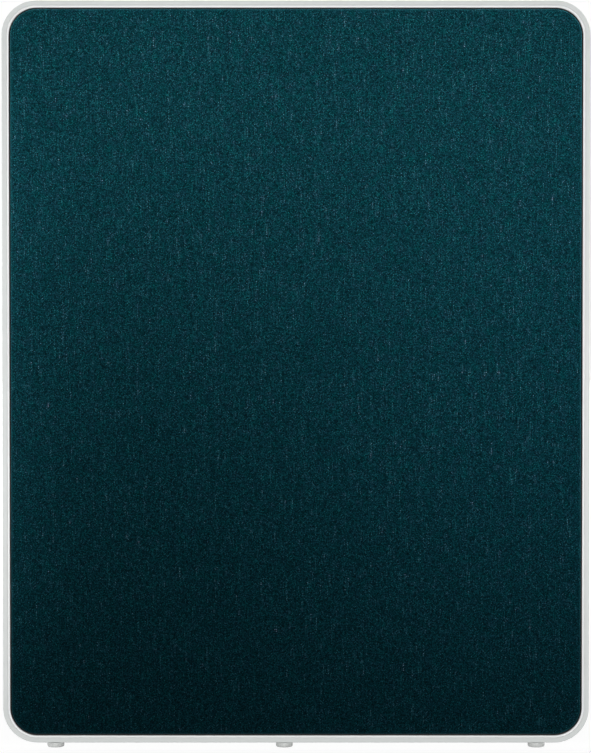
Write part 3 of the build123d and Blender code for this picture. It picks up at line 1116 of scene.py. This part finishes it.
@dataclass
class CoverPanel:
    """One upholstered face: board, foam and the woven cover that is wrapped round both."""

    side: Side
    edge_radius: float = 5.0 * MM
    back_radius: float = 1.5 * MM
    turn_in: float = 13.0 * MM
    thickness: float = 1.0 * MM
    outline_radius: float = 49.5 * MM
    corner_steps: int = 20
    cloth_pitch: float = 12 * MM
    crown: float = 0.9 * MM
    pressure: float = 3.0
    frames: int = 16
    firmness: float = 3.0
    foam_edge: float = 1.9 * MM

    def __post_init__(self) -> None:
        """Read the cover's space from the frame."""
        self.word = self.side.name.lower()
        self.node = f"{self.word}_cover"
        self.low, self.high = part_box(self.node)
        self.width = self.high.x - self.low.x
        self.height = self.high.z - self.low.z
        self.depth = self.high.y - self.low.y
        self.side_run = self.depth - self.edge_radius - self.back_radius
        self.front_arc = self.edge_radius * math.pi / 2
        self.back_arc = self.back_radius * math.pi / 2
        self.margin = self.front_arc + self.side_run + self.back_arc + self.turn_in
        self.cut_width = self.width - 2 * self.edge_radius + 2 * self.margin
        self.cut_height = self.height - 2 * self.edge_radius + 2 * self.margin

    def build(self) -> bpy.types.Object:
        """Make the cover and its filling.

        Returns:
            The cover.
        """
        dress((f"{self.word}_backer",), BOARD)
        dress((f"{self.word}_studs",), STUD_PLASTIC)
        foam = Slab(f"{self.word}_padding", FOAM, "padding_foam", edge=self.foam_edge)
        filling = foam.build(corner_radius=self.outline_radius - self.thickness)
        bm = self._cut()
        self._wrap(bm)
        piece = Piece(f"{self.node}_cloth", PETROL_CLOTH, "frame", "cover_fabric", self.node)
        centre = Vector(((self.low.x + self.high.x) / 2, 0, (self.low.z + self.high.z) / 2))
        cover = piece.place(bm, centre)
        self._relax(cover)
        hem = cover.modifiers.new("cloth_thickness", "SOLIDIFY")
        hem.thickness = self.thickness
        hem.offset = -1.0
        return cover

    def _cut(self) -> bmesh.types.BMesh:
        """Cut the flat cloth: a rounded outline, rings along its margin and a grid inside.

        Returns:
            The cloth, flat, with X and Y as its own directions and its UV map set to them.
        """
        bm = bmesh.new()
        uv = bm.loops.layers.uv.new(CLOTH_UV)
        radius = self.outline_radius - self.edge_radius + self.margin
        bmesh.ops.create_grid(bm, x_segments=1, y_segments=1, size=0.5)
        bmesh.ops.scale(bm, vec=(self.cut_width, self.cut_height, 1), verts=bm.verts)
        soften(bm, bm.verts, radius, self.corner_steps, "VERTICES")
        bm.faces.ensure_lookup_table()
        middle = bm.faces[0]
        for run, steps in (
            (self.turn_in, 3),
            (self.back_arc, 3),
            (self.side_run, 1),
            (self.front_arc, 6),
        ):
            for _ in range(steps):
                bmesh.ops.inset_region(
                    bm, faces=[middle], thickness=run / steps, use_even_offset=True, use_boundary=True
                )
        for axis, reach in (
            (Vector((1, 0, 0)), self.cut_width / 2 - radius),
            (Vector((0, 1, 0)), self.cut_height / 2 - radius),
        ):
            count = round(reach / self.cloth_pitch)
            for index in range(-count, count + 1):
                cut_through(bm, axis * (reach * index / count), axis)
        for face in bm.faces:
            for loop in face.loops:
                loop[uv].uv = loop.vert.co.xy
        return bm

    def _wrap(self, bm: bmesh.types.BMesh) -> None:
        """Wrap the flat cloth's margin round the filling and stand the cloth upright.

        Args:
            bm: The flat cloth.
        """
        facing = self.side.value
        half = Vector((self.width / 2 - self.edge_radius, self.height / 2 - self.edge_radius))
        corner = self.outline_radius - self.edge_radius
        face_depth = max(abs(self.low.y), abs(self.high.y))
        for vert in bm.verts:
            flat = vert.co.xy.copy()
            rim = Vector(
                [max(-limit + corner, min(limit - corner, value)) for value, limit in zip(flat, half)]
            )
            outwards = flat - rim
            beyond = outwards.length - corner
            reach, sink = 0.0, 0.0
            if beyond > 0:
                outwards.normalize()
                reach, sink = self._wrapped(beyond)
                flat = rim + outwards * (corner + reach)
            across = -facing * flat.x
            vert.co = Vector((across, facing * (face_depth - sink), flat.y))
        bmesh.ops.recalc_face_normals(bm, faces=bm.faces)
        middle = max(bm.faces, key=lambda face: face.calc_area())
        if middle.normal.y * facing < 0:
            bmesh.ops.reverse_faces(bm, faces=bm.faces)

    def _wrapped(self, beyond: float) -> tuple[float, float]:
        """Where a point of the margin lies once the cloth is wrapped.

        Args:
            beyond: How far the point lies outside the flat face, along the cloth.

        Returns:
            How far out and how far behind the flat face it lies.
        """
        if beyond <= self.front_arc:
            turn = beyond / self.edge_radius
            return self.edge_radius * math.sin(turn), self.edge_radius * (1 - math.cos(turn))
        beyond -= self.front_arc
        if beyond <= self.side_run:
            return self.edge_radius, self.edge_radius + beyond
        beyond -= self.side_run
        inner = self.edge_radius - self.back_radius
        if beyond <= self.back_arc:
            turn = beyond / self.back_radius
            out = inner + self.back_radius * math.cos(turn)
            return out, self.depth - self.back_radius * (1 - math.sin(turn))
        return inner - (beyond - self.back_arc), self.depth

    def _relax(self, cover: bpy.types.Object) -> None:
        """Let the foam push the stretched cloth out a little, and hold it to the crown.

        Args:
            cover: The wrapped cloth.
        """
        rest = [vert.co.copy() for vert in cover.data.vertices]
        face_depth = max(abs(self.low.y), abs(self.high.y)) - 0.01 * MM
        held = [index for index, co in enumerate(rest) if abs(co.y) < face_depth]
        pins = cover.vertex_groups.new(name="wrapped_margin")
        pins.add(held, 1.0, "REPLACE")
        cloth = cover.modifiers.new("stretch", "CLOTH")
        cloth.settings.quality = 5
        cloth.settings.mass = 0.3
        cloth.settings.tension_stiffness = 40
        cloth.settings.compression_stiffness = 40
        cloth.settings.shear_stiffness = 20
        cloth.settings.bending_stiffness = 2
        cloth.settings.use_pressure = True
        cloth.settings.uniform_pressure_force = self.pressure
        cloth.settings.effector_weights.gravity = 0
        cloth.settings.vertex_group_mass = pins.name
        cloth.collision_settings.use_self_collision = False
        cloth.point_cache.frame_start = 1
        cloth.point_cache.frame_end = self.frames
        scene = bpy.context.scene
        for step in range(1, self.frames + 1):
            scene.frame_set(step)
        relaxed = cover.evaluated_get(bpy.context.evaluated_depsgraph_get())
        pushed = [vert.co.copy() for vert in relaxed.data.vertices]
        cover.modifiers.remove(cloth)
        scene.frame_set(1)
        facing = self.side.value
        most = 0.0
        for vert, start, end in zip(cover.data.vertices, rest, pushed):
            raw = max(0.0, (end.y - start.y) * facing)
            most = max(most, raw)
            bulge = self.crown * (1 - math.exp(-raw / (self.firmness * self.crown)))
            vert.co = Vector((start.x, start.y + facing * bulge, start.z))
        cover.vertex_groups.remove(pins)
        LOG.info("relaxed %s: pushed %.2f mm, held to %.2f mm", cover.name, most / MM, self.crown / MM)


@dataclass
class Foot:
    """A levelling foot: rubber sole, still pad, fluted hand wheel and threaded stem."""

    where: str
    steps: int = 96
    clearance: float = 0.03 * MM
    groove: float = 0.35 * MM
    groove_rings: tuple[float, ...] = (0.35, 0.65)
    sole_edge: float = 0.25 * MM
    deck_height: float = 1.7 * MM
    pad_edge: float = 0.4 * MM
    tongue_outer: float = 12 * MM
    tongue_inner: float = 10 * MM
    tongue_play: float = 0.08 * MM
    tongue_headroom: float = 0.1 * MM
    small_edge: float = 0.2 * MM
    flutes: int = 24
    steps_per_flute: int = 4
    flute_depth: float = 0.3 * MM
    flute_reach: float = 0.1 * MM
    wheel_edge: float = 0.5 * MM
    boss: float = 8 * MM
    boss_height: float = 1.0 * MM
    bore: float = 4.03 * MM
    head_height: float = 1.6 * MM
    neck: float = 0.4 * MM
    thread_radius: float = 4.0 * MM
    thread_depth: float = 0.767 * MM
    thread_corners: tuple[float, ...] = (4 / 16, 9 / 16, 11 / 16)
    thread_steps: int = 32
    spare_turns: int = 2
    pitch: float = 1.25 * MM
    chamfer: float = 1.0 * MM
    sliver: float = 0.01 * MM

    def __post_init__(self) -> None:
        """Read the foot's places from the frame."""
        self.spans = {
            part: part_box(f"{self.where}_foot_{part}") for part in ("sole", "pad", "wheel", "stem")
        }
        low, high = self.spans["wheel"]
        self.centre = Vector(((low.x + high.x) / 2, (low.y + high.y) / 2, 0))

    def _radius(self, part: str) -> float:
        """Half the width of a part of the foot."""
        low, high = self.spans[part]
        return (high.x - low.x) / 2

    def _piece(self, part: str, finish: Finish, slot: str, body: str) -> Piece:
        """The record of one new part of the foot.

        Args:
            part: Its word.
            finish: Its finish.
            slot: Its material slot.
            body: The body that it rides on.

        Returns:
            The piece to place.
        """
        node = f"{self.where}_foot_{part}"
        return Piece(f"{node}_moulded", finish, f"{self.where}_{body}", slot, node)

    def build(self) -> None:
        """Make the four parts."""
        self._sole()
        self._pad()
        self._wheel()
        self._stem()

    def _sole(self) -> None:
        """Make the rubber disc with two grooves underneath."""
        radius, top = self._radius("sole"), self.spans["sole"][1].z
        section = [(0, 0)]
        for share in self.groove_rings:
            inner, outer = share * radius, share * radius + 2 * self.groove
            section += [(inner, 0), (inner, self.groove), (outer, self.groove), (outer, 0)]
        section += [(radius, 0), (radius, top), (0, top)]
        bm = lathe(section, self.steps)
        soften(bm, edges_at(bm, radius, 0), self.sole_edge)
        self._piece("sole", RUBBER, "sole_rubber", "pad").place(bm, self.centre)

    def _pad(self) -> None:
        """Make the plastic pad: a dished disc round the sole, with its tongue ring on top."""
        low, high = self.spans["pad"]
        radius, seat = self._radius("pad"), self._radius("sole") + self.clearance
        deck, roof = low.z + self.deck_height, self.spans["sole"][1].z
        outer, inner = self.tongue_outer, self.tongue_inner
        section = [
            (0, roof),
            (seat, roof),
            (seat, low.z),
            (radius, low.z),
            (radius, deck),
            (outer, deck),
            (outer, high.z),
            (inner, high.z),
            (inner, deck),
            (0, deck),
        ]
        bm = lathe(section, self.steps)
        soften(bm, edges_at(bm, radius, low.z) + edges_at(bm, radius, deck), self.pad_edge)
        soften(bm, edges_at(bm, outer, high.z) + edges_at(bm, inner, high.z), self.small_edge)
        self._piece("pad", FOOT_PLASTIC, "foot_plastic", "pad").place(bm, self.centre)

    def _wheel(self) -> None:
        """Make the hand wheel with grip flutes in its rim, hollow where the tongue and stem go in."""
        low, high = self.spans["wheel"]
        head_low = self.spans["stem"][0].z
        head_top = head_low + self.head_height
        radius, head = self._radius("wheel"), self._radius("stem") + self.clearance
        rim_top = high.z - self.boss_height
        outer, inner = self.tongue_outer + self.tongue_play, self.tongue_inner - self.tongue_play
        slot_top = self.spans["pad"][1].z + self.tongue_headroom
        section = [
            (0, low.z),
            (inner, low.z),
            (inner, slot_top),
            (outer, slot_top),
            (outer, low.z),
            (radius, low.z),
            (radius, rim_top),
            (self.boss, rim_top),
            (self.boss, high.z),
            (self.bore, high.z),
            (self.bore, head_top),
            (head, head_top),
            (head, head_low),
            (0, head_low),
        ]
        bm = lathe(section, self.steps_per_flute * self.flutes)
        soften(bm, edges_at(bm, radius, low.z) + edges_at(bm, radius, rim_top), self.wheel_edge)
        soften(bm, edges_at(bm, self.boss, high.z), self.small_edge)
        for vert in bm.verts:
            reach = vert.co.xy.length
            if reach > radius - self.flute_reach:
                turn = math.atan2(vert.co.y, vert.co.x)
                dip = self.flute_depth * max(0.0, math.cos(self.flutes * turn)) ** 2
                vert.co.xy *= (reach - dip) / reach
        self._piece("wheel", FOOT_PLASTIC, "foot_plastic", "wheel").place(bm, self.centre)

    def _stem(self) -> None:
        """Make the stem: a head moulded into the wheel and a right-hand thread above it."""
        low, high = self.spans["stem"]
        boss_top = self.spans["wheel"][1].z
        head, major = self._radius("stem"), self.thread_radius
        minor = major - self.thread_depth
        neck, head_top = boss_top + self.neck, low.z + self.head_height
        bm = self._thread(minor, neck, high.z)
        rim = [
            edge for edge in bm.edges if edge.is_boundary and edge.verts[0].co.z < neck + self.sliver
        ]
        section = [(0, low.z), (head, low.z), (head, head_top)]
        section += [(major, head_top), (major, boss_top), (minor, neck)]
        shank = lathe(section, self.thread_steps, closed=False)
        lower = bpy.data.meshes.new("shank")
        shank.to_mesh(lower)
        shank.free()
        before = set(bm.edges)
        bm.from_mesh(lower)
        bpy.data.meshes.remove(lower)
        open_edges = [edge for edge in bm.edges if edge not in before and edge.is_boundary]
        bmesh.ops.bridge_loops(bm, edges=rim + open_edges)
        bmesh.ops.holes_fill(bm, edges=[edge for edge in bm.edges if edge.is_boundary])
        bmesh.ops.dissolve_degenerate(bm, dist=self.sliver, edges=bm.edges)
        bmesh.ops.recalc_face_normals(bm, faces=bm.faces)
        self._piece("stem", ZINC, "zinc_steel", "wheel").place(bm, self.centre)

    def _thread(self, minor: float, low: float, high: float) -> bmesh.types.BMesh:
        """Wind one pitch of the thread's section up a helix and trim it flat.

        Args:
            minor: The radius at the bottom of the groove.
            low: Where the thread starts.
            high: Where it ends.

        Returns:
            The threaded surface, open at its lower end.
        """
        pitch, major = self.pitch, self.thread_radius
        start = low - (self.spare_turns - 0.5) * pitch
        rise, crest, fall = (start + share * pitch for share in self.thread_corners)
        section = ((minor, start), (minor, rise), (major, crest), (major, fall), (minor, start + pitch))
        turns = math.ceil((high - low) / pitch) + self.spare_turns
        bm = lathe(section, self.thread_steps, turns, pitch, closed=False)
        for height, upwards in ((low, -1), (high, 1)):
            cut_through(bm, (0, 0, height), (0, 0, upwards), clear_outer=True)
        for vert in bm.verts:
            reach = vert.co.xy.length
            limit = major - max(0.0, vert.co.z - (high - self.chamfer))
            if reach > limit:
                vert.co.xy *= limit / reach
        return bm


class Lights(Enum):
    """What a lamp shines on.

    Each is a link state and whether the floor has it too, beside the woven covers.
    """

    CLOTH = ("INCLUDE", False)
    HARDWARE_AND_FLOOR = ("EXCLUDE", False)
    HARDWARE = ("EXCLUDE", True)


@dataclass
class Lamp:
    """A soft rectangular lamp, kept to the woven covers or to all but them, as flags do in a studio."""

    name: str
    place: Point
    aim: Point
    width: float
    height: float
    level: float
    lights: Lights = Lights.HARDWARE_AND_FLOOR
    spread: float = math.pi
    tint: Colour = (1.0, 1.0, 1.0)

    def on_side(self, side: Side) -> "Lamp":
        """Make a copy of this lamp for one face of the screen.

        Args:
            side: The face.

        Returns:
            The lamp, named for that face and on its side.
        """
        x, y, z = self.place
        return replace(self, name=f"{side.name.lower()}_{self.name}", place=(x, y * side.value, z))

    def build(self, covers: Sequence[bpy.types.Object], floor: bpy.types.Object) -> None:
        """Hang the lamp, with the power that gives its level at the point it is aimed at.

        Args:
            covers: The woven covers.
            floor: The floor.
        """
        light = bpy.data.lights.new(self.name, "AREA")
        light.shape = "RECTANGLE"
        light.size, light.size_y = self.width, self.height
        light.spread = self.spread
        light.color = self.tint
        reach = Vector(self.aim) - Vector(self.place)
        light.energy = self.level * (math.pi * reach.length) ** 2
        lamp = bpy.data.objects.new(self.name, light)
        lamp.location = self.place
        lamp.rotation_euler = reach.to_track_quat("-Z", "Y").to_euler()
        lamp.visible_camera = False
        bpy.context.scene.collection.objects.link(lamp)
        flagged = bpy.data.collections.new(f"{self.name}_flagged")
        link_state, with_floor = self.lights.value
        for linked in (*covers, floor) if with_floor else covers:
            flagged.objects.link(linked)
        for entry in flagged.collection_objects:
            entry.light_linking.link_state = link_state
        lamp.light_linking.receiver_collection = flagged
        LOG.info("hung %s: %.0f W", self.name, light.energy)


MIDDLE: Point = (0, 0, 0.7)
FILLS = (
    Lamp("left_fill", (-4.0, 0, 0.9), MIDDLE, width=0.3, height=1.6, level=0.4, lights=Lights.HARDWARE),
    Lamp("right_fill", (4.0, 0, 0.9), MIDDLE, width=0.3, height=1.6, level=0.4, lights=Lights.HARDWARE),
    Lamp("overhead_fill", (0, 0, 4.6), MIDDLE, width=1.6, height=0.3, level=0.4, lights=Lights.HARDWARE),
)
SIDE_LAMPS = (
    Lamp("softbox", (0, 4.4, 0.5), MIDDLE, width=3.2, height=1.0, level=0.6),
    Lamp("left_strip", (-3.4, 2.6, 0.8), MIDDLE, width=0.8, height=1.4, level=0.09),
    Lamp("right_strip", (3.4, 2.6, 0.8), MIDDLE, width=0.8, height=1.4, level=0.04),
    Lamp(
        "top_wash",
        place=(0.1, 2.4, 1.9),
        aim=(0.1, 0, 1.4),
        width=3.0,
        height=0.9,
        level=0.18,
        lights=Lights.CLOTH,
        spread=math.radians(41),
        tint=(1.0, 1.0, 0.94),
    ),
    Lamp(
        "low_wash",
        place=(0.85, 1.6, 0.6),
        aim=(0.45, 0, 0.66),
        width=0.4,
        height=0.6,
        level=0.037,
        lights=Lights.CLOTH,
        spread=math.radians(54),
        tint=(0.95, 1.0, 1.05),
    ),
    Lamp(
        "edge_light",
        place=(-0.66, 0.16, 0.72),
        aim=(-0.5, 0, 0.72),
        width=0.03,
        height=1.0,
        level=1.1,
        lights=Lights.CLOTH,
    ),
)


@dataclass
class Studio:
    """Pale floor, white surround, soft lamps and the camera."""

    floor_size: float = 60.0
    floor_colour: Colour = (0.86, 0.86, 0.86)
    floor_tone: float = 0.99
    floor_cloud_tone: float = 0.02
    floor_cloud: float = 0.8
    floor_shadow_share: float = 0.2
    floor_shadow_reach: float = 3.0
    floor_shadow_fall: float = 4.0
    floor_glow: float = 1.15
    surround_level: float = 0.23
    camera_distance: float = 4.43
    camera_pitch: float = math.radians(1.2)
    picture_centre: float = 0.6979
    camera_offset: float = -0.0009
    picture_height: float = 1.4096
    sensor: float = 36.0
    nearest: float = 0.1
    farthest: float = 200.0

    def build(self, covers: Sequence[bpy.types.Object]) -> None:
        """Set the whole studio up.

        Args:
            covers: The woven covers.
        """
        bpy.context.scene.view_settings.view_transform = "Standard"
        self._camera()
        self._surround()
        self._lamps(covers, self._floor())

    def _camera(self) -> None:
        """Place the camera as the photograph's: opposite the front, looking down a little."""
        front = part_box("top_bow")[0].y
        lens = bpy.data.cameras.new("photo_camera")
        lens.sensor_width = self.sensor
        lens.lens = self.sensor * self.camera_distance / self.picture_height
        lens.clip_start, lens.clip_end = self.nearest, self.farthest
        camera = bpy.data.objects.new("photo_camera", lens)
        rise = self.camera_distance * math.tan(self.camera_pitch)
        height = self.picture_centre + rise
        camera.location = (self.camera_offset, front - self.camera_distance, height)
        camera.rotation_euler = (math.pi / 2 - self.camera_pitch, 0, 0)
        bpy.context.scene.collection.objects.link(camera)
        bpy.context.scene.camera = camera
        LOG.info("placed the camera: %.1f mm lens", lens.lens)

    @staticmethod
    def _seen(kit: ShaderKit) -> Wire:
        """Tell the rays that show the background.


        Returns:
            1 for camera, glossy and transmission rays, and 0 for others.
        """
        camera = kit.node("ShaderNodeLightPath", output="Is Camera Ray")
        shown = kit.maths("MAXIMUM", camera, camera.beside("Is Glossy Ray"))
        return kit.maths("MAXIMUM", shown, camera.beside("Is Transmission Ray"))

    def _surround(self) -> None:
        """Make the world white to look at and even and soft to light with."""
        world = bpy.data.worlds.new("white_surround")
        kit = ShaderKit(world)
        fill = kit.node("ShaderNodeBackground", sockets={"Color": WHITE, "Strength": self.surround_level})
        shown = kit.node("ShaderNodeBackground", sockets={"Color": WHITE, "Strength": 1.0})
        both = kit.node("ShaderNodeMixShader", sockets={0: self._seen(kit), 1: fill, 2: shown})
        kit.node("ShaderNodeOutputWorld", sockets={"Surface": both})
        bpy.context.scene.world = world

    def _floor(self) -> bpy.types.Object:
        """Lay the floor, white where it is looked at but for the screen's faint shadow.

        Returns:
            The floor.
        """
        bm = bmesh.new()
        bmesh.ops.create_grid(bm, x_segments=1, y_segments=1, size=self.floor_size / 2)
        mesh = bpy.data.meshes.new("studio_floor")
        bm.to_mesh(mesh)
        bm.free()
        floor = bpy.data.objects.new("studio_floor", mesh)
        bpy.context.scene.collection.objects.link(floor)
        kit = ShaderKit(bpy.data.materials.new("studio_floor"))
        place = kit.place()
        tone = self.floor_tone + self.floor_cloud_tone * kit.noise(place, self.floor_cloud)
        distance = kit.node("ShaderNodeVectorMath", {"operation": "LENGTH"}, {0: place}, output="Value")
        near = (1 + (distance / self.floor_shadow_reach) ** self.floor_shadow_fall) ** -1
        paint = kit.node("ShaderNodeBsdfDiffuse", sockets={"Color": kit.toned(self.floor_colour, tone)})
        glow = kit.node("ShaderNodeEmission", sockets={"Color": WHITE, "Strength": self.floor_glow})
        share = self._seen(kit) * (1 - self.floor_shadow_share * near)
        both = kit.node("ShaderNodeMixShader", sockets={0: share, 1: paint, 2: glow})
        mesh.materials.append(kit.output(both))
        return floor

    @staticmethod
    def _lamps(covers: Sequence[bpy.types.Object], floor: bpy.types.Object) -> None:
        """Hang the fills, then the same set of lamps in front of the screen and behind it.

        Args:
            covers: The woven covers.
            floor: The floor.
        """
        both_sides = [lamp.on_side(side) for side in Side for lamp in SIDE_LAMPS]
        for lamp in (*FILLS, *both_sides):
            lamp.build(covers, floor)


def main() -> None:
    """Build the screen's sub-assemblies in order, then the studio."""
    logging.basicConfig(level=logging.INFO, format="%(message)s")
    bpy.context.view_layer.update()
    Profile().build()
    Subframe().build()
    covers = [CoverPanel(side).build() for side in Side]
    for where in ("left", "middle", "right"):
        Foot(where).build()
    Studio().build(covers)


if __name__ == "__main__":
    main()
